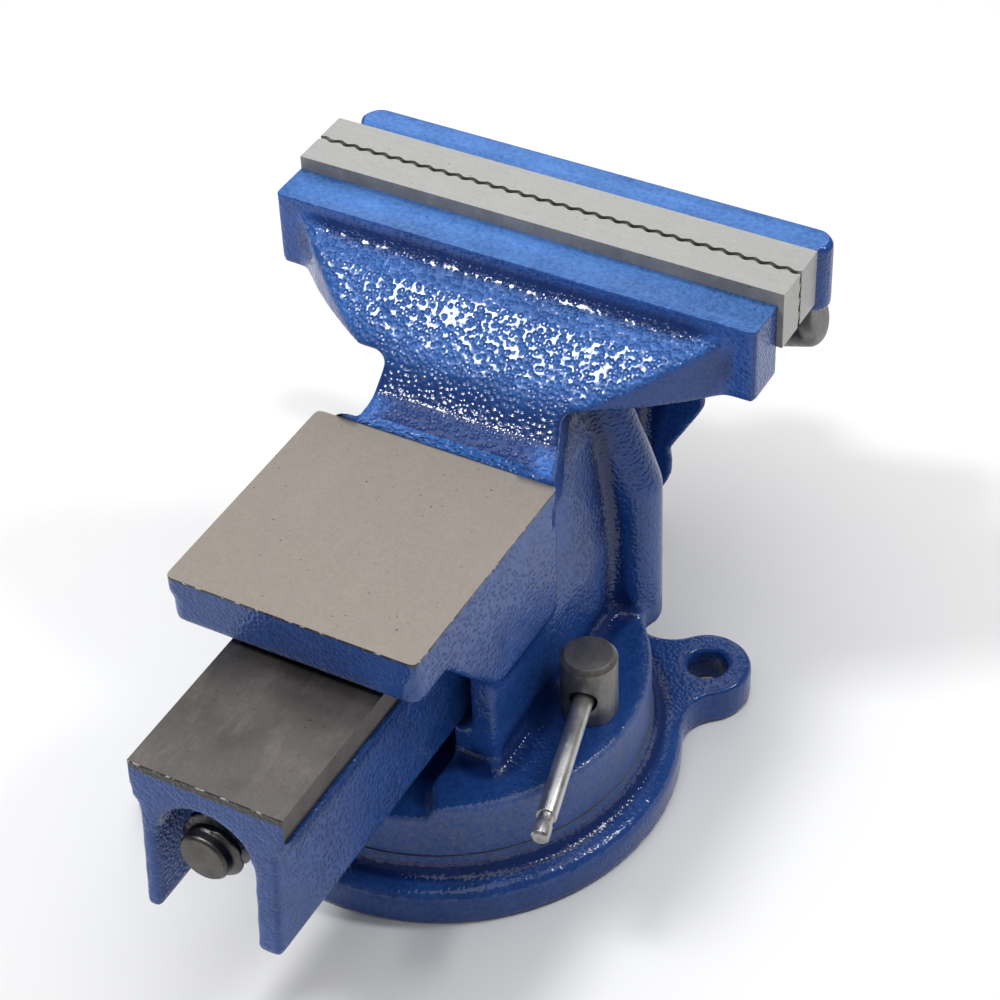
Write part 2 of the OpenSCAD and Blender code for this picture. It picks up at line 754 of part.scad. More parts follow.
swivel_base();
fixed_jaw_body();
on_slide() moving_jaw();
fixed_jaw_plate();
moving_jaw_plate();
fixed_plate_screws();
moving_plate_screws();
on_screw() lead_screw();
on_screw() thrust_washer();
on_screw() screw_spring();
on_screw() spring_washer();
on_screw() split_pin();
on_screw() lead_nut();
on_screw() nut_bolt();
on_screw() nut_bolt_washer();
on_screw() handle_bar();
on_screw() handle_knob_left();
on_screw() handle_knob_right();
lock_screw_left();
lock_screw_right();
lock_bar_left();
lock_bar_right();
lock_t_nut_left();
lock_t_nut_right();
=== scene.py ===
import math

import bmesh
import bpy
import numpy as np
from mathutils import Matrix, Vector


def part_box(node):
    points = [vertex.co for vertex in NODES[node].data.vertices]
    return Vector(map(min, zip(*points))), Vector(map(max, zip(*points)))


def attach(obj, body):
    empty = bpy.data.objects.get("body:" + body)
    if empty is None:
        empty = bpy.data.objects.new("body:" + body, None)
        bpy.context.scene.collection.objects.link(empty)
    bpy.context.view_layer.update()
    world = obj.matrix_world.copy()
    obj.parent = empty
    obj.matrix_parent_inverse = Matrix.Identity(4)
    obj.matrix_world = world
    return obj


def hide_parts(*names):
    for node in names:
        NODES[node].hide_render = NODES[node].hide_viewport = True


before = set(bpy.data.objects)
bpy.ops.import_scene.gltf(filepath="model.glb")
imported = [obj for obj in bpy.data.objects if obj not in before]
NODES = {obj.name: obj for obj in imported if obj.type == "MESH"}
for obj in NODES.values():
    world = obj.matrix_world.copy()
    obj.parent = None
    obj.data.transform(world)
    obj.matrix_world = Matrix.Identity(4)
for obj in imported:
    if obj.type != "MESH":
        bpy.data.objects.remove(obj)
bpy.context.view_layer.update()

MM = 0.001


# ---- Places in the model: from the nodes' boxes, and features that no box gives ----------------

def low(node):
    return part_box(node)[0]


def high(node):
    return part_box(node)[1]


def middle(node):
    return (low(node) + high(node)) / 2


# The slide: its ground top, and the height of the strip that is ground down its sides. _HW is
# half of a width.
SLIDE_X = -2.5 * MM
SLIDE_TOP = 95.5 * MM
SLIDE_HW = 22.7 * MM
LIP_H = 8 * MM
TAIL_Y = high("moving_jaw").y
SCREW_X = (low("lead_nut").x + high("lead_nut").x) / 2
SCREW_Z = (low("thrust_washer").z + high("thrust_washer").z) / 2
PIN_Y = (low("split_pin").y + high("split_pin").y) / 2

ANVIL_TOP = 112.9 * MM
ANVIL_HW = 37.1 * MM
ANVIL_FRONT_Y = -2.3 * MM
ANVIL_REAR_Y = high("fixed_jaw_body").y
# Half the width of the ledge that is cut in front of the anvil, between the neck's flares
NECK_HW = 25 * MM

# The jaws' cast blocks. The seats are the upright faces that the jaw plates are screwed to.
FIXED_SEAT_Y = high("fixed_jaw_plate").y
MOVING_SEAT_Y = low("moving_jaw_plate").y
FIXED_BLOCK_TOP = high("fixed_jaw_body").z
MOVING_BLOCK_TOP = high("moving_jaw").z
FIXED_BLOCK_H = 23.9 * MM
FIXED_BLOCK_T = 13.8 * MM
MOVING_BLOCK_H = 21.4 * MM
MOVING_BLOCK_T = 9.3 * MM
JAW_HW = 75 * MM
FIXED_END_X = -73.2 * MM
MOVING_END_LOW = -77.4 * MM
MOVING_END_HIGH = 69.9 * MM
CORNER = 4.4 * MM
SEAT_MARGIN = 4.5 * MM

# The body's round foot turns on the base at this height
JOINT_Z = high("swivel_base").z
FOOT_R = 59.4 * MM
FOOT_TOP = 36.6 * MM


# ---- Shader helpers ----------------------------------------------------------------------------

# Distance from a dimple's centre, in cells: its floor ends at the first and its rim is the second
DIMPLE_FLOOR = 0.15
DIMPLE_RIM = 0.66

class Nodes:
    """Builds a node tree with short calls; every socket is given by name."""

    def __init__(self, name):
        self.material = bpy.data.materials.new(name)
        self.material.use_nodes = True
        self.tree = self.material.node_tree
        self.shader = self.tree.nodes["Principled BSDF"]
        self.where = self.add("ShaderNodeTexCoord").outputs["Object"]

    def add(self, kind, links=None, **settings):
        node = self.tree.nodes.new(kind)
        for key, value in settings.items():
            setattr(node, key, value)
        for socket, value in (links or {}).items():
            self.put(node.inputs[socket], value)
        return node

    def put(self, socket, value):
        if isinstance(value, bpy.types.NodeSocket):
            self.tree.links.new(value, socket)
        elif isinstance(value, tuple) and len(value) == 3 and socket.type == "RGBA":
            socket.default_value = (*value, 1)
        else:
            socket.default_value = value

    def noise(self, scale, detail, rough, stretch=None, where=None):
        where = where or self.where
        if stretch:
            where = self.add("ShaderNodeMapping", {"Vector": where, "Scale": stretch}).outputs[0]
        return self.add("ShaderNodeTexNoise", {"Vector": where, "Scale": scale, "Detail": detail,
                                               "Roughness": rough}).outputs["Fac"]

    def dimples(self, scale):
        """Round dimples, 0 at their floor and 1 on the level ground between them."""
        distance = self.add("ShaderNodeTexVoronoi", {"Vector": self.where, "Scale": scale,
                                                     "Randomness": 0.8}).outputs["Distance"]
        return self.add("ShaderNodeMapRange",
                        {"Value": distance, "From Min": DIMPLE_FLOOR, "From Max": DIMPLE_RIM},
                        interpolation_type="SMOOTHSTEP").outputs["Result"]

    def band(self, value, start, end, to_low=0.0, to_high=1.0):
        """to_low up to start, to_high from end on, and a straight ramp between them."""
        return self.add("ShaderNodeMapRange",
                        {"Value": value, "From Min": start, "From Max": end,
                         "To Min": to_low, "To Max": to_high}).outputs["Result"]

    def mix(self, factor, first, second):
        """The first colour where the factor is 0 and the second where it is 1."""
        node = self.add("ShaderNodeMix", data_type="RGBA")
        self.put(node.inputs["Factor"], factor)
        self.put(node.inputs[6], first)
        self.put(node.inputs[7], second)
        return node.outputs[2]

    def math(self, operation, first, second=0.0):
        node = self.add("ShaderNodeMath", operation=operation)
        self.put(node.inputs[0], first)
        self.put(node.inputs[1], second)
        return node.outputs[0]

    def cavity(self):
        """How far each point lies inside its surroundings, in metres; set by mark_cavities."""
        return self.add("ShaderNodeAttribute", attribute_name="cavity").outputs["Fac"]

    def axis(self, which):
        return self.add("ShaderNodeSeparateXYZ", {"Vector": self.where}).outputs[which]

    def edges(self, start, end):
        """Where the surface bends: above 0.5 is an outside edge, below is an inside corner."""
        return self.band(self.add("ShaderNodeNewGeometry").outputs["Pointiness"], start, end)

    def bump(self, height, distance, strength, below=None):
        node = self.add("ShaderNodeBump",
                        {"Height": height, "Distance": distance, "Strength": strength})
        if below is not None:
            self.put(node.inputs["Normal"], below)
        return node.outputs[0]

    def finish(self, **values):
        """Sets the shader's sockets, with _ for each space in their names."""
        for key, value in values.items():
            self.put(self.shader.inputs[key.replace("_", " ")], value)
        return self.material


def faded(colour, factor):
    """A colour made darker or lighter, with no part of it above 1."""
    return tuple(min(1.0, part * factor) for part in colour)


def hammered_paint(name, depth, gloss=0.1, light=1.0, tint=(0.75, 0.82, 1.0), metal_show=0.0,
                   pit_scale=760, bare_top=None, bare_depth=2.4 * MM, bare_from=0.0,
                   calm_below=None, shine=0.42):
    """Blue paint over a rough casting. Its surface is pitted like hammered enamel: depth sets how
    deep the pits are and pit_scale how many there are to a metre. gloss is the roughness, shine
    the specular level, and metal_show is how much bare iron shows through. light and tint scale
    the colour to paint in the light or shade that the faces get, so one paint comes in lit and
    shaded copies. The pit floors and the inside corners are painted darker: painted shade.
    Below bare_top, the height of a ground face, a strip of bare_depth has lost its paint, from
    bare_from on along Y, and light specks along its top are painted glints. Below the height
    calm_below the pits are shallow and the paint is darker: painted shade where the slope turns
    from the lamps, apart from the ledge at the anvil's height."""
    n = Nodes(name)

    # light and tint paint in how lit the faces are: painted light and shade
    def blue(*colour):
        return tuple(part * light * scale for part, scale in zip(colour, tint))

    dark, mid = blue(0.019, 0.080, 0.30), blue(0.032, 0.122, 0.42)
    patches = n.noise(60, 3, 0.6)
    colour = n.mix(n.band(patches, 0.35, 0.65), dark, mid)
    pits = n.dimples(pit_scale)
    blotch = n.band(n.noise(640, 3, 0.65), 0.35, 0.68)
    colour = n.mix(n.math("MULTIPLY", blotch, 0.5), colour, blue(0.062, 0.20, 0.56))
    shade = n.band(pits, 0.9, 0.0, 0.0, 0.08 + 0.37 * depth)
    colour = n.mix(shade, colour, blue(0.010, 0.045, 0.21))
    specks = n.band(n.noise(800, 2, 0.6), 0.66, 0.71)
    colour = n.mix(n.math("MULTIPLY", specks, 0.45), colour, (0.006, 0.02, 0.09))
    # Inside corners and grooves are painted darker by their cavity depth: painted shade
    inside = n.band(n.cavity(), 0.12 * MM, 0.65 * MM, 0.0, 0.85)
    colour = n.mix(inside, colour, (0.004, 0.018, 0.11))
    if calm_below:
        ground = n.math("ADD", n.axis("Z"), n.math("MULTIPLY", n.noise(90, 3, 0.6), 6 * MM))
        lively = n.band(ground, calm_below - 2 * MM, calm_below + 5 * MM)
        ledge = n.band(n.axis("Z"), ANVIL_TOP + 1.2 * MM, ANVIL_TOP + 2.6 * MM, 1.0, 0.0)
        lively = n.math("MAXIMUM", lively, ledge)
        # The lower slope is painted darker: painted shade where it turns away from the lamps
        colour = n.mix(lively, n.mix(0.85, colour, (0.006, 0.024, 0.12)), colour)
        pits = n.math("MULTIPLY", pits, n.band(lively, 0.0, 1.0, 0.25, 1.0))
    if metal_show:
        bare = n.band(n.noise(800, 4, 0.75), 0.36, 0.66, 0.0, metal_show)
        colour = n.mix(bare, colour, (0.15, 0.17, 0.22))
    if bare_top:
        wander = n.math("MULTIPLY", n.math("SUBTRACT", n.noise(260, 4, 0.6), 0.5), 2.2 * MM)
        height = n.math("ADD", n.axis("Z"), wander)
        start = bare_top - bare_depth
        worn = n.band(height, start - 0.3 * MM, start + 0.3 * MM)
        above = n.band(n.axis("Z"), bare_top + 0.1 * MM, bare_top + 0.3 * MM, 1.0, 0.0)
        worn = n.math("MULTIPLY", worn, above)
        worn = n.math("MULTIPLY", worn, n.band(n.axis("Y"), bare_from, bare_from + 1 * MM))
        colour = n.mix(worn, colour, (0.035, 0.035, 0.038))
        # Light specks along the top of the worn strip: painted glints
        edge_glint_specks = n.band(n.axis("Z"), bare_top - 0.7 * MM, bare_top - 0.4 * MM)
        edge_glint_specks = n.math("MULTIPLY", edge_glint_specks, n.band(n.noise(420, 2, 0.6), 0.55, 0.6))
        colour = n.mix(n.math("MULTIPLY", edge_glint_specks, worn), colour, (0.5, 0.5, 0.5))
    normal = n.bump(n.noise(210, 2, 0.5), 0.45 * MM * depth, 0.8)
    normal = n.bump(pits, 0.42 * MM * depth, 1.0, normal)
    normal = n.bump(n.noise(1500, 2, 0.6), 0.02 * MM, 0.6, normal)
    return n.finish(Base_Color=colour, Roughness=n.band(patches, 0.3, 0.7, gloss, gloss + 0.08),
                    Normal=normal, Specular_IOR_Level=shine)


def ground_metal(name, base, spread, rough, stretch=(1, 1, 1), pits=0.5, metallic=0.85):
    """Bare machined iron or steel with stains, scuffs and small dark pits. stretch lays the grind
    along an axis, spread is how far the stains vary, and pits how dark the pits are."""
    n = Nodes(name)
    stain = n.noise(38, 4, 0.65)
    grind = n.noise(1100, 3, 0.6, stretch)
    colour = n.mix(n.band(stain, 0.3, 0.7), faded(base, 1 - spread), faded(base, 1 + spread))
    colour = n.mix(n.band(grind, 0.3, 0.75, 0.0, 0.4), colour, faded(base, 0.78))
    grime = n.band(n.noise(900, 3, 0.75), 0.35, 0.65, 0.0, 0.35)
    colour = n.mix(grime, colour, faded(base, 0.72))
    scuff = n.band(n.noise(75, 5, 0.75, (1.6, 0.5, 1)), 0.52, 0.72, 0.0, spread)
    colour = n.mix(scuff, colour, faded(base, 1.8))
    speck = n.band(n.noise(700, 1, 0.5), 0.735, 0.76)
    colour = n.mix(n.math("MULTIPLY", speck, pits), colour, faded(base, 0.18))
    normal = n.bump(grind, 0.05 * MM, 0.5)
    normal = n.bump(n.noise(160, 3, 0.6), 0.12 * MM, 0.25, normal)
    return n.finish(Base_Color=colour, Metallic=metallic, Normal=normal,
                    Roughness=n.band(stain, 0.3, 0.7, rough, rough + 0.12))


def turned_metal(name, base, rough, ring_axis=None, centre=(0, 0, 0), metallic=0.9):
    """Turned bar: a fine grain, darker stains, and edges painted lighter as painted highlights.
    With a ring_axis, the faces across that axis carry tool rings about it, round the centre."""
    n = Nodes(name)
    tool = n.noise(1400, 3, 0.6)
    if ring_axis:
        where = n.add("ShaderNodeMapping", {"Vector": n.where,
                                            "Location": tuple(-c for c in centre)}).outputs[0]
        parts = n.add("ShaderNodeSeparateXYZ", {"Vector": where})
        a, b = [parts.outputs[x] for x in "XYZ" if x != ring_axis]
        radius = n.math("SQRT", n.math("ADD", n.math("MULTIPLY", a, a), n.math("MULTIPLY", b, b)))
        outward = n.add("ShaderNodeCombineXYZ", {"X": radius}).outputs[0]
        rings = n.noise(2200, 2, 0.6, where=outward)
        facing = n.add("ShaderNodeSeparateXYZ",
                       {"Vector": n.add("ShaderNodeNewGeometry").outputs["Normal"]})
        across = n.band(n.math("ABSOLUTE", facing.outputs[ring_axis]), 0.8, 0.9)
        tool = n.add("ShaderNodeMix", {"Factor": across, "A": tool, "B": rings}).outputs["Result"]
    stain = n.noise(120, 5, 0.7)
    colour = n.mix(n.band(stain, 0.32, 0.68), faded(base, 0.5), faded(base, 1.25))
    colour = n.mix(n.band(tool, 0.35, 0.7, 0.0, 0.55), colour, faded(base, 0.5))
    # Outside edges are painted lighter: painted highlights
    colour = n.mix(n.edges(0.53, 0.62), colour, faded(base, 2.2))
    normal = n.bump(tool, 0.07 * MM, 0.7)
    normal = n.bump(n.noise(420, 3, 0.6), 0.08 * MM, 0.35, normal)
    return n.finish(Base_Color=colour, Metallic=metallic, Normal=normal,
                    Roughness=n.band(stain, 0.3, 0.7, rough, rough + 0.15))


# Copies of one blue paint. Their light and tint factors paint in how lit their faces are: the web
# and the ground tops lighter, the anvil, slide and base darker, as painted light and shade.
PAINT_WEB = hammered_paint("paint_hammered", 0.85, 0.08, tint=(1, 1, 1), pit_scale=660,
                           calm_below=ANVIL_TOP + 11 * MM)
# The base and the foot's top are painted darker: painted shade
PAINT_BASE = hammered_paint("paint_base", 0.17, light=0.64)
PAINT_BODY = hammered_paint("paint_anvil", 0.22, light=0.72, bare_top=ANVIL_TOP,
                            bare_depth=0.8 * MM, bare_from=ANVIL_FRONT_Y)
PAINT_JAW = hammered_paint("paint_slide", 0.28, light=0.68, bare_top=SLIDE_TOP)
# The block's rear wall has its own light factor, which paints in how lit the wall is
PAINT_WALL = hammered_paint("paint_block_wall", 0.3, 0.2, light=0.95)
# The ground tops are painted lighter and paler: painted light where they face up to the lamps, over
# a smoother coat
PAINT_TOP_LIT = hammered_paint("paint_ground_top_painted_lit", 0.12, 0.45, light=1.35, tint=(1.6, 1.15, 0.93),
                           shine=0.2)
PAINT_RIM = hammered_paint("paint_over_turned_rim", 0.15, 0.4, light=0.8, metal_show=0.6)
ANVIL = ground_metal("anvil_ground", (0.33, 0.295, 0.26), 0.05, 0.46, (0.8, 0.5, 1), pits=0.7)
SLIDE = ground_metal("slide_ground", (0.128, 0.117, 0.11), 0.42, 0.4, (1, 0.4, 1), pits=0.6)
PLATE = ground_metal("plate_ground", (0.43, 0.43, 0.42), 0.05, 0.36, (0.1, 1, 1), pits=0.4)
PLATE_SIDE = ground_metal("plate_side", (0.31, 0.3, 0.29), 0.35, 0.6, metallic=0.1)
JOINT = ground_metal("joint_ground", (0.22, 0.22, 0.225), 0.2, 0.5)
SCREW = turned_metal("screw_turned", (0.115, 0.11, 0.106), 0.3, "Y", (SCREW_X, 0, SCREW_Z))
BAR = turned_metal("bar_turned", (0.54, 0.53, 0.52), 0.28)
LOCKS = {node: turned_metal(node + "_turned", (0.235, 0.228, 0.22), 0.32, "Z", middle(node), 0.75)
         for node in ("lock_screw_left", "lock_screw_right")}
HANDLE = turned_metal("handle_turned", (0.23, 0.225, 0.22), 0.3)
BLACK = turned_metal("black_steel", (0.06, 0.06, 0.065), 0.38)
IRON = ground_metal("cast_iron_bare", (0.14, 0.13, 0.125), 0.3, 0.6)


# ---- Mesh helpers ------------------------------------------------------------------------------

def add_object(name, mesh):
    obj = bpy.data.objects.new(name, mesh)
    bpy.context.scene.collection.objects.link(obj)
    return obj


SMOOTHING_ROUNDS = 60


def mark_cavities(obj):
    """Stores how far each vertex lies below the smoothed surface; inside corners are positive."""
    mesh = obj.data
    count = len(mesh.vertices)
    places = np.zeros(count * 3, np.float64)
    normals = np.zeros(count * 3, np.float32)
    pairs = np.zeros(len(mesh.edges) * 2, np.int32)
    mesh.vertices.foreach_get("co", places)
    mesh.vertex_normals.foreach_get("vector", normals)
    mesh.edges.foreach_get("vertices", pairs)
    places, normals, pairs = places.reshape(-1, 3), normals.reshape(-1, 3), pairs.reshape(-1, 2)
    ends = np.concatenate([pairs[:, 0], pairs[:, 1]])
    others = np.concatenate([pairs[:, 1], pairs[:, 0]])
    valence = np.maximum(np.bincount(ends, minlength=count), 1)
    soft = places.copy()
    for _ in range(SMOOTHING_ROUNDS):
        soft = np.stack([np.bincount(ends, weights=soft[others, k], minlength=count) / valence
                         for k in range(3)], axis=1)
    depth = ((soft - places) * normals).sum(axis=1).astype(np.float32)
    mesh.attributes.new("cavity", "FLOAT", "POINT").data.foreach_set("value", depth)


def mesh_from(name, bm):
    """Turns a bmesh into a mesh with its faces outwards, and frees it."""
    mesh = bpy.data.meshes.new(name)
    bmesh.ops.recalc_face_normals(bm, faces=bm.faces)
    bm.to_mesh(mesh)
    bm.free()
    return mesh


def node_bmesh(node):
    """A welded copy of a CAD node's mesh."""
    bm = bmesh.new()
    bm.from_mesh(NODES[node].data)
    bmesh.ops.remove_doubles(bm, verts=bm.verts, dist=0.002 * MM)
    return bm


def add_box(bm, low_corner, high_corner):
    centre = (Vector(low_corner) + Vector(high_corner)) / 2
    size = Vector(high_corner) - Vector(low_corner)
    place = Matrix.Translation(centre) @ Matrix.Diagonal((*size, 1))
    bmesh.ops.create_cube(bm, size=1, matrix=place)


RING_SIDES = 180


def add_ring(bm, inner, outer, bottom, top):
    """A closed ring about the Z axis with a rectangular section."""
    angles = [2 * math.pi * i / RING_SIDES for i in range(RING_SIDES)]
    loops = []
    for radius, z in ((inner, bottom), (outer, bottom), (outer, top), (inner, top)):
        loops.append([bm.verts.new((radius * math.cos(t), radius * math.sin(t), z))
                      for t in angles])
    for a in range(4):
        here, there = loops[a], loops[(a + 1) % 4]
        for i in range(RING_SIDES):
            j = (i + 1) % RING_SIDES
            bm.faces.new((here[i], here[j], there[j], there[i]))


def modify(obj, kind, **settings):
    modifier = obj.modifiers.new(kind.lower(), kind)
    for key, value in settings.items():
        setattr(modifier, key, value)


def bake_modifiers(obj):
    graph = bpy.context.evaluated_depsgraph_get()
    mesh = bpy.data.meshes.new_from_object(obj.evaluated_get(graph))
    obj.modifiers.clear()
    old, obj.data = obj.data, mesh
    bpy.data.meshes.remove(old)


def bevel(obj, width, segments, angle):
    """Rounds the edges that bend by more than the angle, in degrees."""
    modify(obj, "BEVEL", width=width, segments=segments, limit_method="ANGLE",
           angle_limit=math.radians(angle))
    bake_modifiers(obj)


def cut_away(obj, bm, **settings):
    """Takes the solid in a bmesh out of an object."""
    cutter = add_object("cutter", mesh_from("cutter", bm))
    modify(obj, "BOOLEAN", operation="DIFFERENCE", object=cutter, **settings)
    bake_modifiers(obj)
    bpy.data.objects.remove(cutter)


def machine(obj, boxes):
    """Cuts flat ground faces into a casting: everything inside the boxes goes."""
    for low_corner, high_corner in boxes:
        bm = bmesh.new()
        add_box(bm, low_corner, high_corner)
        cut_away(obj, bm, solver="MANIFOLD")


VOXEL = 0.85 * MM
FILLET = 2.2 * MM


def cast(name, node, body, extra, ground):
    """A casting made from a CAD node: fillets in its inside corners, soft outside edges, and flat
    machined faces. extra adds stock to the copy before it is softened; ground lists the cuts.
    Swelling the skin by FILLET and shrinking it again leaves the inside corners filled."""
    bm = node_bmesh(node)
    extra(bm)
    obj = add_object(name, mesh_from(name, bm))
    modify(obj, "REMESH", mode="VOXEL", voxel_size=VOXEL)
    bake_modifiers(obj)
    modify(obj, "SMOOTH", factor=0.5, iterations=2)
    modify(obj, "DISPLACE", strength=FILLET, mid_level=0, direction="NORMAL")
    modify(obj, "REMESH", mode="VOXEL", voxel_size=VOXEL)
    modify(obj, "DISPLACE", strength=-FILLET, mid_level=0, direction="NORMAL")
    modify(obj, "SMOOTH", factor=0.5, iterations=3)
    modify(obj, "REMESH", mode="VOXEL", voxel_size=VOXEL)
    modify(obj, "SMOOTH", factor=0.5, iterations=2)
    bake_modifiers(obj)
    mark_cavities(obj)
    machine(obj, ground)
    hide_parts(node)
    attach(obj, body)
    return obj


def paint_faces(obj, materials, flat_count, choose):
    """Gives each face one of the materials; choose maps face centres and normals to an index.
    The last flat_count materials are for ground faces, which are shaded flat."""
    obj.data.materials.clear()
    for material in materials:
        obj.data.materials.append(material)
    count = len(obj.data.polygons)
    centres = np.zeros(count * 3, np.float32)
    normals = np.zeros(count * 3, np.float32)
    obj.data.polygons.foreach_get("center", centres)
    obj.data.polygons.foreach_get("normal", normals)
    index = choose(centres.reshape(-1, 3), normals.reshape(-1, 3)).astype(np.int32)
    obj.data.polygons.foreach_set("material_index", index)
    flat = index >= len(materials) - flat_count
    obj.data.polygons.foreach_set("use_smooth", ~flat)
    obj.data.update()


def set_material(obj, material):
    obj.data.materials.clear()
    obj.data.materials.append(material)


# ---- Castings ----------------------------------------------------------------------------------

# Stock is added over a face that is ground, and the cut box then reaches OVER past that face. To
# each side the boxes reach NARROW along the anvil and the slide, and WIDE elsewhere. The PAST_
# places are outside the casting, behind, in front of and above it.
STOCK = 3 * MM
OVER = 8 * MM
NARROW = 60 * MM
WIDE = 90 * MM
PAST_EARS = 100 * MM
SEAT_BOTTOM = 115 * MM
PAST_ANVIL = 90 * MM
PAST_TAIL = 140 * MM
PAST_JAW = -120 * MM
PAST_BLOCK = -30 * MM
PAST_TOP = 160 * MM
ON_FACE = 0.02 * MM


def near(value, place):
    return np.abs(value - place) < ON_FACE


def base_extra(bm):
    add_ring(bm, 55.5 * MM, FOOT_R + 0.4 * MM, 12 * MM, JOINT_Z + STOCK)


base = cast("base_casting", "swivel_base", "base", base_extra,
            [((-WIDE, -WIDE, JOINT_Z), (WIDE, WIDE, JOINT_Z + OVER)),
             ((-PAST_EARS, -PAST_EARS, -OVER), (PAST_EARS, PAST_EARS, 0.0))])


def base_faces(centres, normals):
    x, y, z = centres.T
    index = np.zeros(len(centres))
    index[(z > JOINT_Z - 3 * MM) & (np.hypot(x, y) > FOOT_R - 1 * MM)] = 1
    index[near(z, JOINT_Z)] = 2
    return index


paint_faces(base, [PAINT_BASE, PAINT_RIM, JOINT], 1, base_faces)


def body_extra(bm):
    add_box(bm, (-ANVIL_HW, ANVIL_FRONT_Y, ANVIL_TOP - 6 * MM),
            (ANVIL_HW, ANVIL_REAR_Y, ANVIL_TOP + STOCK))
    add_box(bm, (FIXED_END_X, FIXED_SEAT_Y - STOCK, FIXED_BLOCK_TOP - FIXED_BLOCK_H),
            (JAW_HW, FIXED_SEAT_Y + FIXED_BLOCK_T, FIXED_BLOCK_TOP + STOCK))
    add_ring(bm, 56.2 * MM, FOOT_R, JOINT_Z - STOCK, JOINT_Z + 6 * MM)


body = cast("body_casting", "fixed_jaw_body", "body", body_extra,
            [((-NARROW, ANVIL_FRONT_Y, ANVIL_TOP), (NARROW, PAST_ANVIL, ANVIL_TOP + OVER)),
             ((-NECK_HW, ANVIL_FRONT_Y - 4 * MM, ANVIL_TOP + 0.4 * MM),
              (NECK_HW, ANVIL_FRONT_Y + 1 * MM, ANVIL_TOP + OVER)),
             ((-WIDE, FIXED_SEAT_Y - OVER, SEAT_BOTTOM), (WIDE, FIXED_SEAT_Y, PAST_TOP)),
             ((-WIDE, FIXED_SEAT_Y - OVER, FIXED_BLOCK_TOP), (WIDE, PAST_BLOCK, PAST_TOP)),
             ((-WIDE, -WIDE, JOINT_Z - OVER), (WIDE, WIDE, JOINT_Z + 0.1 * MM))])


def body_faces(centres, normals):
    x, y, z = centres.T
    up = normals[:, 2] > 0.97
    index = np.zeros(len(centres))
    # The web takes the pitted copy with the lighter tint: painted light
    web = (normals[:, 2] > 0.3) & (z > ANVIL_TOP) & (y > FIXED_SEAT_Y + 12 * MM)
    index[web] = 1
    # The block's rear wall takes the copy with its own painted light
    wall = (normals[:, 1] > 0.8) & (z > FIXED_BLOCK_TOP - 26 * MM) & (y < FIXED_SEAT_Y + 15 * MM)
    index[wall] = 4
    # Ground tops take the copy painted lighter: painted light
    index[(z > FIXED_BLOCK_TOP - 0.5 * MM) & up] = 2
    # The foot's top takes the base's copy painted darker: painted shade
    index[z < FOOT_TOP + 2 * MM] = 5
    rim = (np.hypot(x, y) > FOOT_R - 1.2 * MM) & (z < FOOT_TOP + 0.5 * MM)
    index[rim] = 3
    index[near(z, ANVIL_TOP) & up] = 6
    seat = near(y, FIXED_SEAT_Y)
    index[seat & (x > FIXED_END_X + SEAT_MARGIN) & (x < JAW_HW - SEAT_MARGIN)] = 7
    return index


paint_faces(body, [PAINT_BODY, PAINT_WEB, PAINT_TOP_LIT, PAINT_RIM, PAINT_WALL, PAINT_BASE, ANVIL,
                   JOINT], 2, body_faces)


def jaw_extra(bm):
    add_box(bm, (SLIDE_X - SLIDE_HW - 1.5 * MM, MOVING_SEAT_Y - 6 * MM, SLIDE_TOP - LIP_H),
            (SLIDE_X + SLIDE_HW + 1.5 * MM, TAIL_Y - 4.5 * MM, SLIDE_TOP + STOCK))
    add_box(bm, (MOVING_END_LOW + CORNER, MOVING_SEAT_Y - MOVING_BLOCK_T,
                 MOVING_BLOCK_TOP - MOVING_BLOCK_H),
            (MOVING_END_HIGH - CORNER, MOVING_SEAT_Y + STOCK, MOVING_BLOCK_TOP + STOCK))


jaw = cast("jaw_casting", "moving_jaw", "jaw", jaw_extra,
           [((-NARROW, MOVING_SEAT_Y, SLIDE_TOP), (NARROW, PAST_TAIL, SLIDE_TOP + OVER)),
            ((SLIDE_X + SLIDE_HW, MOVING_SEAT_Y, SLIDE_TOP - LIP_H),
             (NARROW, PAST_TAIL, SLIDE_TOP + OVER)),
            ((-NARROW, MOVING_SEAT_Y, SLIDE_TOP - LIP_H),
             (SLIDE_X - SLIDE_HW, PAST_TAIL, SLIDE_TOP + OVER)),
            ((-WIDE, MOVING_SEAT_Y, SEAT_BOTTOM), (WIDE, MOVING_SEAT_Y + OVER, PAST_TOP)),
            ((-WIDE, PAST_JAW, MOVING_BLOCK_TOP), (WIDE, MOVING_SEAT_Y + OVER, PAST_TOP))])


def jaw_faces(centres, normals):
    x, y, z = centres.T
    side = near(np.abs(x - SLIDE_X), SLIDE_HW)
    index = np.zeros(len(centres))
    # The block top takes the copy painted lighter: painted light
    index[(z > MOVING_BLOCK_TOP - 0.5 * MM) & (normals[:, 2] > 0.97)] = 1
    index[near(z, SLIDE_TOP) | (side & (z > SLIDE_TOP - LIP_H))] = 2
    seat = near(y, MOVING_SEAT_Y) & (z > SEAT_BOTTOM)
    index[seat & (x > MOVING_END_LOW + CORNER) & (x < MOVING_END_HIGH - CORNER)] = 3
    return index


paint_faces(jaw, [PAINT_JAW, PAINT_TOP_LIT, SLIDE, JOINT], 2, jaw_faces)


# ---- Jaw plates --------------------------------------------------------------------------------

TOOTH_PITCH = 4.8 * MM
TOOTH_SWING = 0.42 * MM
PLATE_STEP = 0.6 * MM
PLATE_SCREW_X = 45 * MM
HOLE_R = 3.2 * MM
SINK_R = 7.0 * MM
SINK_DEPTH = 4.6 * MM


def serration(x, below_top, grip_sign):
    """Depth of the crossed grooves on a gripping face. The two plates' teeth mesh: where one face
    stands out the other is cut away, so a wavy gap shows between them from above."""
    turn = 2 * math.pi / TOOTH_PITCH
    return TOOTH_SWING * (1.0 + grip_sign * math.sin(turn * x) * math.cos(turn * below_top))


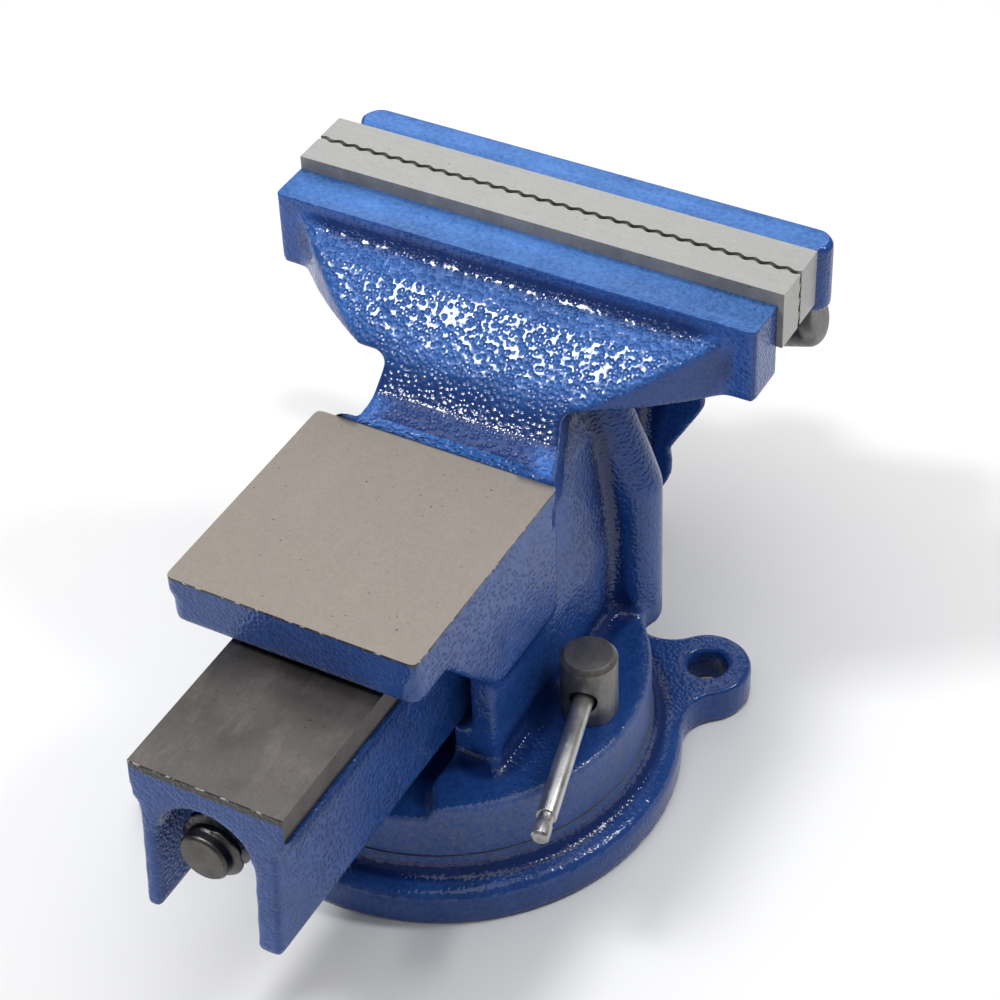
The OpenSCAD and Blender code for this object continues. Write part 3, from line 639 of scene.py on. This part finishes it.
def serrated_plate(name, node, screws, body, grip_sign):
    """A jaw plate with a serrated gripping face and countersunk holes; grip_sign is the side
    along Y that the face is on."""
    start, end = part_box(node)
    margin = 0.02 * MM
    across = round((end.x - start.x) / PLATE_STEP)
    up = round((end.z - start.z) / PLATE_STEP)
    grip, back = (end.y, start.y) if grip_sign > 0 else (start.y, end.y)
    bm = bmesh.new()
    rows = []
    for k in range(up + 1):
        z = start.z + (end.z - start.z) * k / up
        row = []
        for i in range(across + 1):
            x = start.x + (end.x - start.x) * i / across
            depth = serration(x, end.z - z, grip_sign) + margin
            row.append(bm.verts.new((x, grip - grip_sign * depth, z)))
        rows.append(row)
    for k in range(up):
        for i in range(across):
            bm.faces.new((rows[k][i], rows[k][i + 1], rows[k + 1][i + 1], rows[k + 1][i]))
    # Side walls: from the face's rim straight back, closed by the rear face
    rim = (rows[0] + [row[-1] for row in rows[1:]]
           + rows[-1][-2::-1] + [row[0] for row in rows[-2:0:-1]])
    behind = [bm.verts.new((v.co.x, back, v.co.z)) for v in rim]
    for i in range(len(rim)):
        j = (i + 1) % len(rim)
        bm.faces.new((rim[i], rim[j], behind[j], behind[i]))
    bm.faces.new(behind)
    obj = add_object(name, mesh_from(name, bm))
    # Each screw's hole is a straight cutter right through the plate and a cone from its face
    bm = bmesh.new()
    screw_z = middle(screws).z
    turn = Matrix.Rotation(grip_sign * math.pi / 2, 4, "X")
    for x in (-PLATE_SCREW_X, PLATE_SCREW_X):
        for outer_r, length, inset in ((HOLE_R, 30 * MM, 5.3 * MM),
                                       (SINK_R, SINK_DEPTH, SINK_DEPTH / 2)):
            centre = (x, grip - grip_sign * inset, screw_z)
            bmesh.ops.create_cone(bm, cap_ends=True, segments=48, radius1=outer_r,
                                  radius2=HOLE_R, depth=length + margin,
                                  matrix=Matrix.Translation(centre) @ turn)
    cut_away(obj, bm, solver="EXACT", use_self=True)
    set_material(obj, PLATE)
    obj.data.materials.append(PLATE_SIDE)
    for polygon in obj.data.polygons:
        polygon.use_smooth = False
        polygon.material_index = int(polygon.normal.y * grip_sign < -0.5)
    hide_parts(node)
    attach(obj, body)


serrated_plate("fixed_plate_serrated", "fixed_jaw_plate", "fixed_plate_screws", "body", -1)
serrated_plate("moving_plate_serrated", "moving_jaw_plate", "moving_plate_screws", "jaw", 1)


# ---- Lead screw --------------------------------------------------------------------------------

THREAD_START_Y = PIN_Y + 8 * MM
PITCH = 5 * MM
CREST_R = 9.45 * MM
ROOT_R = 7.2 * MM


def clamp(value):
    return min(1.0, max(0.0, value))


def threaded_rod(name, from_y, to_y):
    """A right-hand trapezoid thread about the screw's axis. It fades out before a plain,
    chamfered end at to_y."""
    plain, fade, chamfer = 3.2 * MM, 1.4 * MM, 0.8 * MM
    around = 72
    along = round((to_y - from_y) / (0.4 * MM))
    tooth = CREST_R - ROOT_R
    bm = bmesh.new()
    rings = []
    for k in range(along + 1):
        y = from_y + (to_y - from_y) * k / along
        fullness = clamp((to_y - plain - y) / fade)
        limit = ROOT_R + tooth * fullness - max(0.0, y - (to_y - chamfer))
        ring = []
        for i in range(around):
            turn = 2 * math.pi * i / around
            phase = (y / PITCH - i / around) % 1.0
            height = clamp((0.30 - abs(phase - 0.5)) / 0.12)
            radius = min(limit, ROOT_R + tooth * height)
            ring.append(bm.verts.new((SCREW_X + radius * math.sin(turn), y,
                                      SCREW_Z + radius * math.cos(turn))))
        rings.append(ring)
    for k in range(along):
        for i in range(around):
            j = (i + 1) % around
            bm.faces.new((rings[k][i], rings[k][j], rings[k + 1][j], rings[k + 1][i]))
    bm.faces.new(rings[0])
    bm.faces.new(rings[-1])
    obj = add_object(name, mesh_from(name, bm))
    bevel(obj, 0.5 * MM, 1, 60)
    for polygon in obj.data.polygons:
        polygon.use_smooth = len(polygon.vertices) <= 4
    return obj


def screw_head(name):
    """The plain front of the lead screw, cut from the CAD node."""
    bm = node_bmesh("lead_screw")
    geometry = bm.verts[:] + bm.edges[:] + bm.faces[:]
    cut = bmesh.ops.bisect_plane(bm, geom=geometry, plane_co=(0, THREAD_START_Y, 0),
                                 plane_no=(0, 1, 0), clear_outer=True)
    edges = [e for e in cut["geom_cut"] if isinstance(e, bmesh.types.BMEdge)]
    bmesh.ops.holes_fill(bm, edges=edges, sides=0)
    obj = add_object(name, mesh_from(name, bm))
    bevel(obj, 0.5 * MM, 2, 40)
    return obj


thread = threaded_rod("lead_screw_thread", THREAD_START_Y, high("lead_screw").y)
head = screw_head("lead_screw_head")
for piece in (thread, head):
    set_material(piece, SCREW)
    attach(piece, "screw")
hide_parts("lead_screw")
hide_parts("lead_screw")


# ---- CAD nodes that keep their shape -----------------------------------------------------------

FINISHES = {
    BLACK: ("fixed_plate_screws", "moving_plate_screws", "nut_bolt", "lock_t_nut_left",
            "lock_t_nut_right"),
    JOINT: ("thrust_washer", "spring_washer", "nut_bolt_washer", "split_pin"),
    IRON: ("lead_nut",),
    SCREW: ("screw_spring",),
}
for material, names in FINISHES.items():
    for node in names:
        set_material(NODES[node], material)


def rounded_piece(node, body, material):
    """A turned piece with the CAD node's shape, small radii on its edges and smooth round faces."""
    obj = add_object(node + "_rounded", mesh_from(node, node_bmesh(node)))
    bevel(obj, 0.3 * MM, 2, 40)
    obj.data.shade_smooth()
    obj.data.set_sharp_from_angle(angle=math.radians(35))
    set_material(obj, material)
    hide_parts(node)
    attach(obj, body)


for node in ("handle_bar", "handle_knob_left", "handle_knob_right"):
    rounded_piece(node, "handle", HANDLE)
for side in ("left", "right"):
    rounded_piece("lock_screw_" + side, "lock_" + side, LOCKS["lock_screw_" + side])
    rounded_piece("lock_bar_" + side, "lock_bar_" + side, BAR)


# ---- Floor, lights and camera ------------------------------------------------------------------

AIM = Vector((0, -0.02, 0.08))


def soft_light(name, place, size, power):
    """A round lamp aimed at the vise; size is its diameter in metres and power is in watts."""
    data = bpy.data.lights.new(name, "AREA")
    data.shape = "DISK"
    data.size = size
    data.energy = power
    light = add_object(name, data)
    light.location = place
    light.rotation_euler = (AIM - Vector(place)).to_track_quat("-Z", "Y").to_euler()


bm = bmesh.new()
bmesh.ops.create_grid(bm, x_segments=1, y_segments=1, size=3)
floor = add_object("floor", mesh_from("floor", bm))
floor.location.z = -0.2 * MM
set_material(floor, Nodes("floor_paper").finish(Base_Color=(0.9, 0.9, 0.9), Roughness=0.85))

world = bpy.data.worlds.new("studio")
bpy.context.scene.world = world
world.use_nodes = True
world.node_tree.nodes["Background"].inputs["Color"].default_value = (1, 1, 1, 1)
world.node_tree.nodes["Background"].inputs["Strength"].default_value = 0.17

# The glints are mirrored by the pitted web and by the base's shoulder
soft_light("overhead", (0.10, 0.05, 1.30), 1.6, 9)
soft_light("front_panel", (0.55, -0.95, 0.90), 1.2, 4.5)
soft_light("glint", (0.43, 0.41, 1.03), 0.22, 5.5)
soft_light("side_glint", (-0.60, -0.38, 0.98), 0.26, 4)

camera_data = bpy.data.cameras.new("camera")
camera_data.lens = 99.6
camera_data.sensor_width = 36
camera = add_object("camera", camera_data)
CAMERA_PLACE = Vector((-0.30261, 0.48283, 0.58842))
CAMERA_AIM = Vector((0.00227, -0.03939, 0.06465))
CAMERA_ROLL = math.radians(2.557)
facing = (CAMERA_AIM - CAMERA_PLACE).to_track_quat("-Z", "Y").to_matrix().to_4x4()
roll = Matrix.Rotation(-CAMERA_ROLL, 4, "Z")
camera.matrix_world = Matrix.Translation(CAMERA_PLACE) @ facing @ roll
bpy.context.scene.camera = camera
bpy.context.scene.view_settings.view_transform = "Standard"
